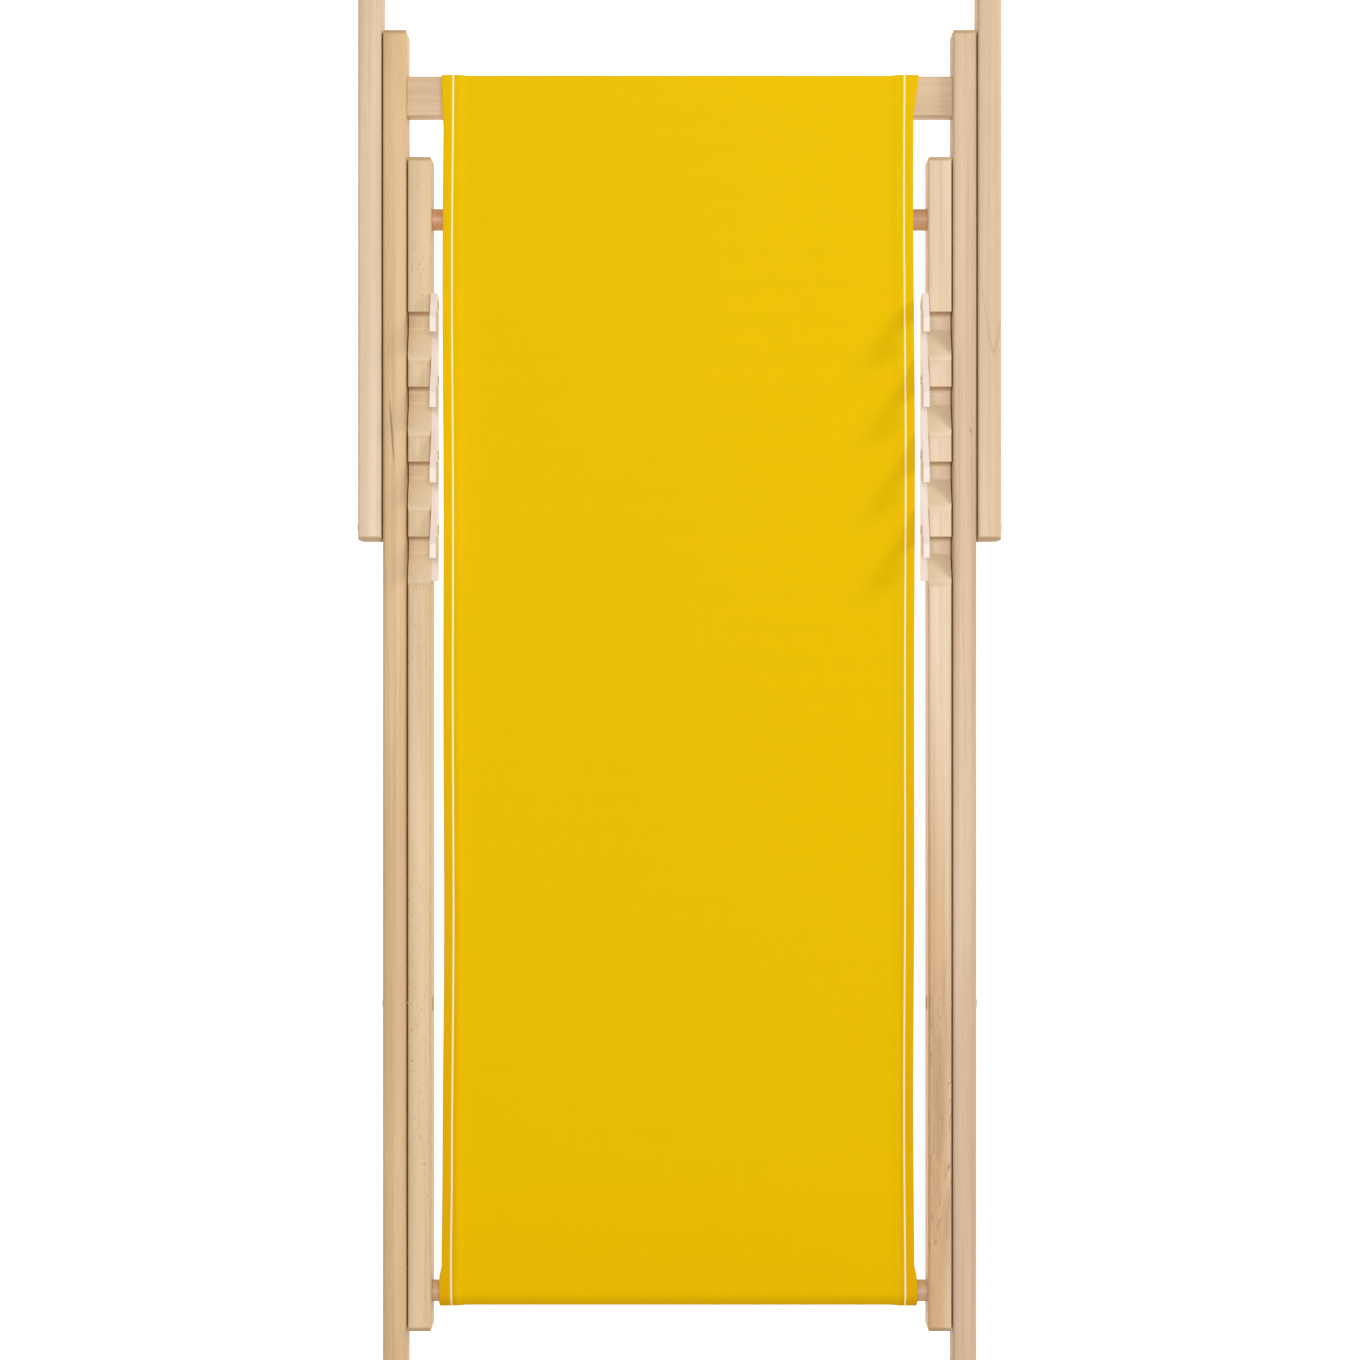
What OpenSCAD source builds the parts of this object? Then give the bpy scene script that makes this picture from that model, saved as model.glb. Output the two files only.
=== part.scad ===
// Folding deck chair. A long main frame carries the canvas at its head, a shorter seat
// frame pivots inside it, and a prop frame pivots outside it. The prop frame's bar drops
// into one of four notches in the seat rails, which sets how far the chair reclines.
// The chair is drawn folded flat and lying on its back: X runs across it, +Y towards its
// head and +Z out of the side that a sitter faces. Every distance along the chair is
// measured from the seat pivot. Millimetres.

/* [Rails] */
// Thickness of every rail across the chair
rail_t = 21.8; // [20:0.1:24]
// Depth of every rail from front to back
rail_d = 38; // [36:0.5:42]
// Gap between two neighbouring rails, which a washer fills
rail_gap = 1.1; // [1:0.1:2]
// Clear width between the two seat rails
seat_clear = 457; // [446:1:480]
// Rounding along the long edges
edge_r = 2; // [1:0.5:4]
// Rounding of a rail's end, seen from the side
end_r = 5; // [4:0.5:12]
// Rounding of a rail's end, seen from the front
plan_r = 3; // [2:0.5:6]

/* [Main frame] */
// Head end of the main rails
main_head = 898; // [880:1:920]
// Foot end of the main rails
main_foot = 400; // [380:1:420]
// Middle of the flat rail at the head
head_rail_at = 837.5; // [815:0.5:850]
// Middle of the flat rail at the feet
foot_rail_at = 352; // [335:1:355]
// Width of both flat rails
cross_w = 37; // [30:1:44]
// Thickness of both flat rails
cross_t = 22; // [18:1:24]

/* [Seat frame] */
// Front end of the seat rails
seat_front = 301; // [290:1:310]
// Rear end of the seat rails
seat_rear = 781; // [760:1:800]
// Middle of the dowel that carries the canvas
front_dowel_at = 266; // [250:1:270]
// Middle of the dowel between the rear legs
rear_dowel_at = 725; // [700:1:740]
// Diameter of both dowels and of the prop bar
dowel_dia = 20; // [18:1:20]

/* [Prop frame] */
// Prop pivot, measured along the main rails
prop_pivot_at = 440; // [420:1:445]
// Middle of the prop bar, measured from the prop pivot
prop_bar_at = 510; // [490:1:530]
// Length of the prop rails past the bar
prop_over = 30; // [20:1:40]
// Length of the prop rails past the pivot
prop_tail = 13; // [12:0.5:18]

/* [Notches] */
// Wall of the notch nearest the seat pivot
notch_first = 431; // [425:1:440]
// Distance from one notch to the next
notch_pitch = 69; // [66:1:72]
// Number of notches
notch_count = 4; // [2:1:4]
// Depth of a notch below the front of the rail
notch_depth = 15; // [12:0.5:18]
// Length of a notch's floor
notch_flat = 15; // [14:0.5:17]
// Slope of the ramp that leads out of a notch, in degrees
notch_ramp = 28.5; // [27:0.5:33]

/* [Ratchet plates] */
// Thickness of a plate
plate_t = 5.5; // [4:0.5:6.5]
// Reach of a tooth over its notch
tooth_reach = 20.3; // [16:0.1:21]
// Height of a tooth's underside above the front of the rail
tooth_gap = 10; // [9:0.1:11]
// Thickness of a tooth at its tip
tooth_tip = 10; // [6:0.5:12]
// Flat length on top of a tooth
tooth_top = 13; // [8:0.5:16]

/* [Hardware] */
// Diameter of a pivot bolt
bolt_dia = 6; // [5:0.5:8]
// Diameter of a pivot bolt's domed head
bolt_head_dia = 12; // [10:0.5:14]
// Height of a pivot bolt's domed head
bolt_head_h = 2.8; // [2:0.1:4]
// Width of a pivot nut across its flats
nut_af = 10; // [9:0.5:11]
// Thickness of a pivot nut
nut_h = 4.5; // [4:0.5:6]
// Outer diameter of a washer
washer_dia = 14; // [12:0.5:18]
// Number of tacks along the head rail
head_tack_count = 9; // [5:2:13]
// Number of tacks along the front dowel
front_tack_count = 9; // [5:2:13]

/* [Canvas] */
// Width of the canvas
sling_w = 434; // [420:1:438]
// Thickness of the canvas
sling_t = 0.7; // [0.5:0.1:1.2]
// Thickness of the canvas wound about the front dowel
roll_t = 3.5; // [2:0.1:4]
// Extra width of the canvas where it is wound
roll_extra = 6; // [0:0.5:8]

/* [Hidden] */
$fn = 64;

beech = [0.87, 0.75, 0.60];
plastic = [0.95, 0.94, 0.92];
steel = [0.72, 0.72, 0.74];
brass = [0.72, 0.52, 0.25];
canvas = [0.93, 0.77, 0.05];

// Working clearances: a running bolt, a glued joint, and a moving piece passing another
run_gap = 0.05;
glue_gap = 0.05;
pass_gap = 0.3;
past = 1;

// Places across the chair: the inner face of each right-hand rail
seat_x = seat_clear / 2;
main_x = seat_x + rail_t + rail_gap;
prop_x = main_x + rail_t + rail_gap;
mid_z = rail_d / 2;

// Places along the chair, with the whole length centred on the origin
prop_head = prop_pivot_at + prop_bar_at + prop_over;
pivot_y = (main_foot - prop_head) / 2;
prop_pivot_y = pivot_y + prop_pivot_at;
prop_bar_y = prop_pivot_y + prop_bar_at;
head_rail_y = pivot_y + head_rail_at;
foot_rail_y = pivot_y - foot_rail_at;
front_dowel_y = pivot_y - front_dowel_at;
rear_dowel_y = pivot_y + rear_dowel_at;
dowel_r = dowel_dia / 2;

// Joints in the wood
tenon_r = 7;
tenon_len = 15;
flat_tenon = [14, 26, 12];
pin_r = 1.25;
pin_len = 26;
pin_in = 8;

// Hardware that follows from the sizes above
bolt_r = bolt_dia / 2;
nut_recess = nut_h + 1.5;
nut_recess_r = nut_af / 2 / cos(30) + 1.7;
nut_in = 1;
screw_r = 2;
screw_len = 48;
screw_head_r = 4;
screw_head_h = 2.4;
plate_screw_r = 1.75;
plate_screw_len = 18;
plate_screw_head_r = 3.8;
plate_screw_head_h = 1.9;
plate_pocket = 1.5;
plate_head_x = seat_x - plate_t + plate_pocket - plate_screw_head_h;
plate_screw_from_wall = 6.5;
cross_slot_w = 0.9;
cross_slot_depth = 1.2;
plate_screw_z = mid_z + 8;
tack_head_r = 3.5;
tack_head_h = 0.8;
tack_r = 0.8;
tack_len = 9;
tack_edge = 24;

// Notches and ratchet plates, seen from the side
notch_z = rail_d - notch_depth;
notch_corner_r = 6;
tooth_low = rail_d + tooth_gap;
tooth_high = tooth_low + tooth_tip;
notch_walls = [for (i = [0 : notch_count - 1]) pivot_y + notch_first + i * notch_pitch];
notch_len = notch_flat + notch_depth / tan(notch_ramp);
ramp_foot_r = 12;
ramp_crest_r = 24;
plate_back_z = 11;
plate_from = notch_walls[0] - notch_len + 2;
plate_to = notch_walls[notch_count - 1] + 16.4;
plate_r = 9;

// Canvas: its outer radius about the front dowel, and where its two runs meet
roll_r = dowel_r + roll_t;
cross_z = mid_z - cross_t / 2;
sling_z = cross_z + cross_t;
sling_break_back = pivot_y + 12;
sling_break_seat = pivot_y - 8;
wrap_back_len = 24;

// Rounded rectangle with one corner at the origin
module rounded_rect(w, h, r) {
    translate([r, 0])
        square([w - 2 * r, h]);
    translate([0, r])
        square([w, h - 2 * r]);
    for (x = [r, w - r], y = [r, h - r])
        translate([x, y])
            circle(r);
}

// Outline in the Y-Z plane, extruded across the chair from x_from
module across(x_from, length) {
    translate([x_from, 0, 0])
        rotate([90, 0, 90])
            linear_extrude(length)
                children();
}

// Round bar or hole across the chair
module bar_across(x_from, x_to, r, y, z = mid_z) {
    translate([x_from, y, z])
        rotate([0, 90, 0])
            cylinder(h = x_to - x_from, r = r);
}

// Copies its children on both sides of the chair
module both_sides() {
    children();
    mirror([1, 0, 0])
        children();
}

// Rail with its inner face at x, rounded along its edges and at both ends
module rail(x, y_from, y_to) {
    length = y_to - y_from;
    translate([x, y_from, 0])
        intersection() {
            translate([0, length, 0])
                rotate([90, 0, 0])
                    linear_extrude(length)
                        rounded_rect(rail_t, rail_d, edge_r);
            linear_extrude(rail_d)
                rounded_rect(rail_t, length, plan_r);
            across(0, rail_t)
                rounded_rect(length, rail_d, end_r);
        }
}

// Flat cross rail with a tenon at each end
module flat_rail(y) {
    across(-main_x, 2 * main_x)
        translate([y - cross_w / 2, cross_z])
            rounded_rect(cross_w, cross_t, edge_r);
    both_sides()
        translate([main_x - past, y - flat_tenon.y / 2, mid_z - flat_tenon.z / 2])
            cube([flat_tenon.x + past, flat_tenon.y, flat_tenon.z]);
}

// Blind mortise in a main rail for a flat rail's tenon
module flat_mortise(y) {
    size = flat_tenon + [glue_gap, 2 * glue_gap, 2 * glue_gap];
    translate([main_x, y - size.y / 2, mid_z - size.z / 2])
        translate([-past, 0, 0])
            cube(size + [past, 0, 0]);
}

// Dowel between two rails, turned down to a tenon at each end and drilled for its pins
module dowel(x, y) {
    difference() {
        union() {
            bar_across(-x, x, dowel_r, y);
            bar_across(-x - tenon_len, x + tenon_len, tenon_r, y);
        }
        both_sides()
            pin_hole(x, y);
    }
}

// Blind mortise for a dowel's tenon
module dowel_mortise(x, y) {
    bar_across(x - past, x + tenon_len + glue_gap, tenon_r + glue_gap, y);
}

// Pin that locks a tenon, driven in from the back of the rail
module pin(x, y) {
    translate([x + pin_in, y, glue_gap])
        cylinder(h = pin_len, r = pin_r);
}

// Hole for such a pin
module pin_hole(x, y) {
    translate([x + pin_in, y, -past])
        cylinder(h = pin_len + past + 2 * glue_gap, r = pin_r + glue_gap);
}

// Cross slot for a screwdriver, cut along X into a head whose face is at the origin
module cross_slot(head_r, depth) {
    for (turn = [0, 90])
        rotate([turn, 0, 0])
            translate([-depth, -head_r / 2, -cross_slot_w / 2])
                cube([2 * depth, head_r, cross_slot_w]);
}

// Shape of a countersunk screw driven inwards from the outer face of a main rail
module frame_screw_shape(y, grow = 0) {
    outer = main_x + rail_t - glue_gap + grow;
    bar_across(outer - screw_len, outer, screw_r + grow, y);
    translate([outer - screw_head_h, y, mid_z])
        rotate([0, 90, 0])
            cylinder(h = screw_head_h, r1 = screw_r + grow, r2 = screw_head_r + grow);
}

// Both screws of one flat rail
module frame_screws(y) {
    color(brass)
        both_sides()
            difference() {
                frame_screw_shape(y);
                translate([main_x + rail_t, y, mid_z])
                    cross_slot(screw_head_r, cross_slot_depth);
            }
}

// Pivot bolt whose domed head stands on the face at x_face; the shank runs inwards
module pivot_bolt(x_face, x_end, y) {
    flange_h = 0.7;
    cap_h = bolt_head_h - flange_h;
    cap_edge = bolt_head_dia / 2 - 0.4;
    cap_r = (cap_edge * cap_edge + cap_h * cap_h) / (2 * cap_h);
    bar_across(x_end, x_face + flange_h, bolt_r, y);
    translate([x_face, y, mid_z])
        rotate([0, 90, 0])
            rotate_extrude()
                union() {
                    square([bolt_head_dia / 2, flange_h]);
                    translate([0, flange_h])
                        intersection() {
                            translate([0, cap_h - cap_r])
                                circle(cap_r);
                            square([cap_edge, cap_h]);
                        }
                }
}

// Hexagonal nut with its outer face nearest the chair's middle, at x
module pivot_nut(x, y) {
    difference() {
        translate([x, y, mid_z])
            rotate([0, 90, 0])
                cylinder(h = nut_h, r = nut_af / 2 / cos(30), $fn = 6);
        bar_across(x - past, x + nut_h + past, bolt_r + glue_gap, y);
    }
}

// Recess for such a nut in the face at x
module nut_hole(x, y) {
    bar_across(x - past, x + nut_recess, nut_recess_r, y);
}

// Washer in the gap on the outer side of the rail whose inner face is at x
module washer(x, y) {
    face = x + rail_t + glue_gap;
    difference() {
        bar_across(face, face + rail_gap - 2 * glue_gap, washer_dia / 2, y);
        bar_across(face - past, face + rail_gap + past, bolt_r + 2 * glue_gap, y);
    }
}

// Places of a row of tacks across the canvas
function tack_xs(count) = [
    for (i = [0 : count - 1]) (i / (count - 1) - 0.5) * (sling_w - 2 * tack_edge)
];

// Row of tacks pointing forwards, with the back of their heads at z
module tacks(count, y, z) {
    for (x = tack_xs(count))
        translate([x, y, z]) {
            cylinder(h = tack_head_h, r = tack_head_r);
            cylinder(h = tack_len, r = tack_r);
        }
}

// Holes for such a row
module tack_holes(count, y, z) {
    for (x = tack_xs(count))
        translate([x, y, z])
            cylinder(h = tack_len + glue_gap, r = tack_r + glue_gap);
}

// Wedge that rounds the corner between a level line, which ends at the corner, and the ramp.
// With side 1 the arc lies above the lines, and with side -1 below them.
module corner_outside_arc(corner_y, corner_z, r, side) {
    middle = [corner_y + side * r * tan(notch_ramp / 2), corner_z + side * r];
    reach = r + 2;
    difference() {
        polygon([
            middle,
            middle - [0, side * reach],
            middle - side * reach * [sin(notch_ramp), cos(notch_ramp)],
        ]);
        translate(middle)
            circle(r);
    }
}

// Notch in side view: a square wall, a flat floor with one rounded corner, and a ramp out
module notch_outline(wall) {
    height = tooth_low - notch_z;
    corner = notch_corner_r;
    ramp_y = wall - notch_flat;
    difference() {
        union() {
            translate([ramp_y, notch_z])
                square([notch_flat - corner, height]);
            translate([ramp_y, notch_z + corner])
                square([notch_flat, height - corner]);
            translate([wall - corner, notch_z + corner])
                circle(corner);
            polygon([
                [ramp_y, notch_z],
                [ramp_y, notch_z + height],
                [ramp_y - height / tan(notch_ramp), notch_z + height],
            ]);
        }
        corner_outside_arc(ramp_y, notch_z, ramp_foot_r, 1);
    }
}

// Wood taken off where each ramp meets the front of a seat rail
module ramp_crests() {
    for (wall = notch_walls)
        across(seat_x - past, rail_t + 2 * past)
            corner_outside_arc(wall - notch_len, rail_d, ramp_crest_r, -1);
}

// Every notch, cut across from x_from
module notches(x_from, length) {
    for (wall = notch_walls)
        across(x_from, length)
            notch_outline(wall);
}

// One tooth in side view, reaching over its notch and sloping down to the next ramp
module tooth_outline(wall) {
    tip = wall - tooth_reach;
    next_ramp = wall + notch_pitch - notch_len;
    polygon([
        [wall, rail_d - notch_depth],
        [wall, tooth_low],
        [tip, tooth_low],
        [tip, tooth_high],
        [tip + tooth_top, tooth_high],
        [next_ramp, rail_d],
        [next_ramp, rail_d - notch_depth],
    ]);
}

// Ratchet plate in side view
module plate_outline() {
    intersection() {
        union() {
            translate([plate_from, plate_back_z])
                square([plate_to - plate_from, rail_d - plate_back_z]);
            for (wall = notch_walls)
                tooth_outline(wall);
        }
        translate([plate_from, plate_back_z])
            rounded_rect(plate_to - plate_from, 2 * rail_d, plate_r);
    }
}

// Shape of one screw through a ratchet plate, behind a notch's wall
module plate_screw_shape(wall, grow = 0) {
    translate([plate_head_x, wall + plate_screw_from_wall, plate_screw_z])
        rotate([0, 90, 0]) {
            cylinder(h = plate_screw_head_h, r = plate_screw_head_r + grow);
            cylinder(h = plate_screw_len + grow, r = plate_screw_r + grow);
        }
}

// Screws of one ratchet plate, slotted across
module ratchet_screws() {
    color(brass)
        for (wall = notch_walls)
            difference() {
                plate_screw_shape(wall);
                translate([plate_head_x, wall + plate_screw_from_wall, plate_screw_z])
                    cross_slot(plate_screw_head_r, cross_slot_depth);
            }
}

// Holes for those screws
module ratchet_screw_holes() {
    for (wall = notch_walls)
        plate_screw_shape(wall, glue_gap);
}

// One long rail, with its pivots, mortises, nut recess and screw holes
module main_rail() {
    color(beech)
        difference() {
            rail(main_x, pivot_y - main_foot, pivot_y + main_head);
            bar_across(main_x - past, main_x + rail_t + past, bolt_r + run_gap, pivot_y);
            bar_across(main_x - past, main_x + rail_t + past, bolt_r + run_gap, prop_pivot_y);
            nut_hole(main_x, prop_pivot_y);
            for (y = [head_rail_y, foot_rail_y]) {
                flat_mortise(y);
                frame_screw_shape(y, glue_gap);
            }
        }
}

module main_rail_right() {
    main_rail();
}

module main_rail_left() {
    mirror([1, 0, 0])
        main_rail();
}

// Flat rail at the head, under the canvas
module head_rail() {
    color(beech)
        difference() {
            flat_rail(head_rail_y);
            both_sides()
                frame_screw_shape(head_rail_y, glue_gap);
            tack_holes(head_tack_count, head_rail_y - cross_w / 4, cross_z - past);
        }
}

// Flat rail between the feet
module foot_rail() {
    color(beech)
        difference() {
            flat_rail(foot_rail_y);
            both_sides()
                frame_screw_shape(foot_rail_y, glue_gap);
        }
}

module head_rail_screws() {
    frame_screws(head_rail_y);
}

module foot_rail_screws() {
    frame_screws(foot_rail_y);
}

// Bolt that the seat frame turns on
module seat_pivot_bolt() {
    color(steel)
        pivot_bolt(main_x + rail_t, seat_x + nut_in, pivot_y);
}

module seat_pivot_bolt_right() {
    seat_pivot_bolt();
}

module seat_pivot_bolt_left() {
    mirror([1, 0, 0])
        seat_pivot_bolt();
}

// Washer between a seat rail and a main rail
module seat_pivot_washer() {
    color(steel)
        washer(seat_x, pivot_y);
}

module seat_pivot_washer_right() {
    seat_pivot_washer();
}

module seat_pivot_washer_left() {
    mirror([1, 0, 0])
        seat_pivot_washer();
}

// Nut sunk into the inner face of a seat rail
module seat_pivot_nut() {
    color(steel)
        pivot_nut(seat_x + nut_in, pivot_y);
}

module seat_pivot_nut_right() {
    seat_pivot_nut();
}

module seat_pivot_nut_left() {
    mirror([1, 0, 0])
        seat_pivot_nut();
}

// Bolt that the prop frame turns on
module prop_pivot_bolt() {
    color(steel)
        pivot_bolt(prop_x + rail_t, main_x + nut_in, prop_pivot_y);
}

module prop_pivot_bolt_right() {
    prop_pivot_bolt();
}

module prop_pivot_bolt_left() {
    mirror([1, 0, 0])
        prop_pivot_bolt();
}

// Washer between a main rail and a prop rail
module prop_pivot_washer() {
    color(steel)
        washer(main_x, prop_pivot_y);
}

module prop_pivot_washer_right() {
    prop_pivot_washer();
}

module prop_pivot_washer_left() {
    mirror([1, 0, 0])
        prop_pivot_washer();
}

// Nut sunk into the inner face of a main rail
module prop_pivot_nut() {
    color(steel)
        pivot_nut(main_x + nut_in, prop_pivot_y);
}

module prop_pivot_nut_right() {
    prop_pivot_nut();
}

module prop_pivot_nut_left() {
    mirror([1, 0, 0])
        prop_pivot_nut();
}

// Tacks that hold the canvas to the back of the head rail
module head_tacks() {
    color(steel)
        tacks(
            head_tack_count,
            head_rail_y - cross_w / 4,
            cross_z - sling_t - 2 * glue_gap - tack_head_h
        );
}

// Canvas from the head rail down to the seat pivot
module sling_back() {
    head_end = head_rail_y - cross_w / 2;
    color(canvas)
        translate([-sling_w / 2, sling_break_back, sling_z + glue_gap])
            cube([sling_w, head_end - sling_break_back, sling_t]);
}

// Canvas taken over the head rail and down its back
module sling_head_wrap() {
    low = head_rail_y - cross_w / 2;
    lead = 2 * (edge_r + sling_t);
    inner = glue_gap;
    outer = glue_gap + sling_t;
    color(canvas)
        difference() {
            across(-sling_w / 2, sling_w)
                difference() {
                    translate([low - lead, cross_z - outer])
                        rounded_rect(cross_w + lead + outer, cross_t + 2 * outer, edge_r + outer);
                    translate([low - lead - past, cross_z - inner])
                        rounded_rect(cross_w + lead + past + inner, cross_t + 2 * inner, edge_r + inner);
                    translate([low - lead - past, 0])
                        square([lead + past, rail_d]);
                    translate([low - past, 0])
                        square([cross_w - wrap_back_len + past, mid_z]);
                }
            tack_holes(head_tack_count, head_rail_y - cross_w / 4, cross_z - outer - past);
        }
}

// One seat rail, with its pivot, nut recess, mortises, notches and screw holes
module seat_rail() {
    color(beech)
        difference() {
            rail(seat_x, pivot_y - seat_front, pivot_y + seat_rear);
            bar_across(seat_x - past, seat_x + rail_t + past, bolt_r + run_gap, pivot_y);
            nut_hole(seat_x, pivot_y);
            for (y = [front_dowel_y, rear_dowel_y]) {
                dowel_mortise(seat_x, y);
                pin_hole(seat_x, y);
            }
            notches(seat_x - past, rail_t + 2 * past);
            ramp_crests();
            ratchet_screw_holes();
        }
}

module seat_rail_right() {
    seat_rail();
}

module seat_rail_left() {
    mirror([1, 0, 0])
        seat_rail();
}

// Dowel that carries the canvas at the front of the seat
module front_dowel() {
    color(beech)
        difference() {
            dowel(seat_x, front_dowel_y);
            tack_holes(front_tack_count, front_dowel_y, mid_z - roll_r);
        }
}

// Dowel between the rear legs
module rear_dowel() {
    color(beech)
        dowel(seat_x, rear_dowel_y);
}

// Pins that lock both dowels of the seat frame
module seat_dowel_pins() {
    color(steel)
        both_sides()
            for (y = [front_dowel_y, rear_dowel_y])
                pin(seat_x, y);
}

// Plastic plate on the inner face of a seat rail, with a hook over each notch
module ratchet_plate() {
    pocket_size = [12, 9];
    color(plastic)
        difference() {
            across(seat_x - plate_t, plate_t)
                plate_outline();
            notches(seat_x - plate_t - past, plate_t + 2 * past);
            ratchet_screw_holes();
            for (wall = notch_walls)
                across(seat_x - plate_t - past, past + plate_pocket)
                    translate([
                        wall + plate_screw_from_wall - pocket_size.x / 2,
                        plate_screw_z - pocket_size.y / 2,
                    ])
                        rounded_rect(pocket_size.x, pocket_size.y, pocket_size.y / 2 - glue_gap);
        }
}

module ratchet_plate_right() {
    ratchet_plate();
}

module ratchet_plate_left() {
    mirror([1, 0, 0])
        ratchet_plate();
}

module ratchet_screws_right() {
    ratchet_screws();
}

module ratchet_screws_left() {
    mirror([1, 0, 0])
        ratchet_screws();
}

// Tacks that hold the wound canvas to the front dowel
module front_tacks() {
    color(steel)
        tacks(front_tack_count, front_dowel_y, mid_z - roll_r - glue_gap - tack_head_h);
}

// Canvas from the seat pivot to the front dowel
module sling_seat() {
    color(canvas)
        difference() {
            across(-sling_w / 2, sling_w)
                polygon([
                    [front_dowel_y, mid_z + roll_r - sling_t],
                    [front_dowel_y, mid_z + roll_r],
                    [sling_break_seat, sling_z + sling_t],
                    [sling_break_seat, sling_z],
                ]);
            bar_across(-seat_x, seat_x, roll_r + glue_gap, front_dowel_y);
        }
}

// Canvas wound about the front dowel
module sling_front_wrap() {
    half = sling_w / 2 + roll_extra / 2;
    color(canvas)
        difference() {
            bar_across(-half, half, roll_r, front_dowel_y);
            bar_across(-half - past, half + past, dowel_r + glue_gap, front_dowel_y);
            tack_holes(front_tack_count, front_dowel_y, mid_z - roll_r - past);
        }
}

// One prop rail, with its pivot, mortise and pin hole
module prop_rail() {
    color(beech)
        difference() {
            rail(prop_x, prop_pivot_y - prop_tail, pivot_y + prop_head);
            bar_across(prop_x - past, prop_x + rail_t + past, bolt_r + run_gap, prop_pivot_y);
            dowel_mortise(prop_x, prop_bar_y);
            pin_hole(prop_x, prop_bar_y);
        }
}

module prop_rail_right() {
    prop_rail();
}

module prop_rail_left() {
    mirror([1, 0, 0])
        prop_rail();
}

// Bar that drops into the notches
module prop_bar() {
    color(beech)
        dowel(prop_x, prop_bar_y);
}

module prop_bar_pins() {
    color(steel)
        both_sides()
            pin(prop_x, prop_bar_y);
}

main_rail_left();
main_rail_right();
head_rail();
foot_rail();
head_rail_screws();
foot_rail_screws();
seat_pivot_bolt_left();
seat_pivot_bolt_right();
seat_pivot_washer_left();
seat_pivot_washer_right();
seat_pivot_nut_left();
seat_pivot_nut_right();
prop_pivot_bolt_left();
prop_pivot_bolt_right();
prop_pivot_washer_left();
prop_pivot_washer_right();
prop_pivot_nut_left();
prop_pivot_nut_right();
head_tacks();
sling_back();
sling_head_wrap();
seat_rail_left();
seat_rail_right();
front_dowel();
rear_dowel();
seat_dowel_pins();
ratchet_plate_left();
ratchet_plate_right();
ratchet_screws_left();
ratchet_screws_right();
front_tacks();
sling_seat();
sling_front_wrap();
prop_rail_left();
prop_rail_right();
prop_bar();
prop_bar_pins();
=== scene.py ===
import math
import bmesh
import bpy
from mathutils import Matrix, Vector


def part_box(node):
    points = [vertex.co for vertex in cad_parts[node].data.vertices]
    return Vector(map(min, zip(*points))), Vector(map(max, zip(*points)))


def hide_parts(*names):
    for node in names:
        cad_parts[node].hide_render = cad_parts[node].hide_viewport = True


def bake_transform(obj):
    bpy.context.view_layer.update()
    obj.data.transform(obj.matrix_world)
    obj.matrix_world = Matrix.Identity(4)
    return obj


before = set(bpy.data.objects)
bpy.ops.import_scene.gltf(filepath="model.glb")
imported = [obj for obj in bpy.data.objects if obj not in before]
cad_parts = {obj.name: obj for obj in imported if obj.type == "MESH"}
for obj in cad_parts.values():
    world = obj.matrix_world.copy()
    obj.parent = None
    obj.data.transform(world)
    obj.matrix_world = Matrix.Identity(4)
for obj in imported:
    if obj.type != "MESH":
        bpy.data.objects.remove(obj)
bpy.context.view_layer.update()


# --- Long rails -----------------------------------------------------------------
# The two longest rails, from the feet to the head. Planed beech, 22 by 38 mm, with
# rounded edges and ends, finished with clear satin varnish over a straight grain.

CROWN_R = 0.045


def add(tree, kind, inputs=None, **settings):
    """One shader node; an input is given a value or another node's socket."""
    made = tree.nodes.new("ShaderNode" + kind)
    for name, value in settings.items():
        setattr(made, name, value)
    for name, value in (inputs or {}).items():
        if isinstance(value, bpy.types.NodeSocket):
            tree.links.new(value, made.inputs[name])
        else:
            made.inputs[name].default_value = value
    return made


def sums(tree, operation, a, b=0.0):
    """One step of arithmetic on two numbers or sockets."""
    return add(tree, "Math", {0: a, 1: b}, operation=operation).outputs[0]


def between(tree, value, low, high, start=0.0, end=1.0):
    """Smooth rise from start to end as value goes from low to high."""
    return add(tree, "MapRange", {
        "Value": value, "From Min": low, "From Max": high, "To Min": start, "To Max": end,
    }, interpolation_type="SMOOTHSTEP").outputs[0]


def dye(tree, amount, under, over):
    """Colour over laid on colour under by an amount from 0 to 1."""
    return add(tree, "Mix", {0: amount, 6: under, 7: over}, data_type="RGBA").outputs[2]


def new_finish(name, roughness, **settings):
    """A material with one Principled shader, and its node tree."""
    finish = bpy.data.materials.new(name)
    finish.use_nodes = True
    shader = finish.node_tree.nodes["Principled BSDF"]
    shader.inputs["Roughness"].default_value = roughness
    for socket, value in settings.items():
        shader.inputs[socket.replace("_", " ")].default_value = value
    return finish, finish.node_tree, shader


FRONT_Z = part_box("seat_rail_left")[1][2]
plate_low, plate_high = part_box("ratchet_plate_left")
NOTCHES_Y = (plate_low[1] + plate_high[1]) / 2
NOTCHES_HALF = (plate_high[1] - plate_low[1]) / 2
RINGS = 26.0


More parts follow.
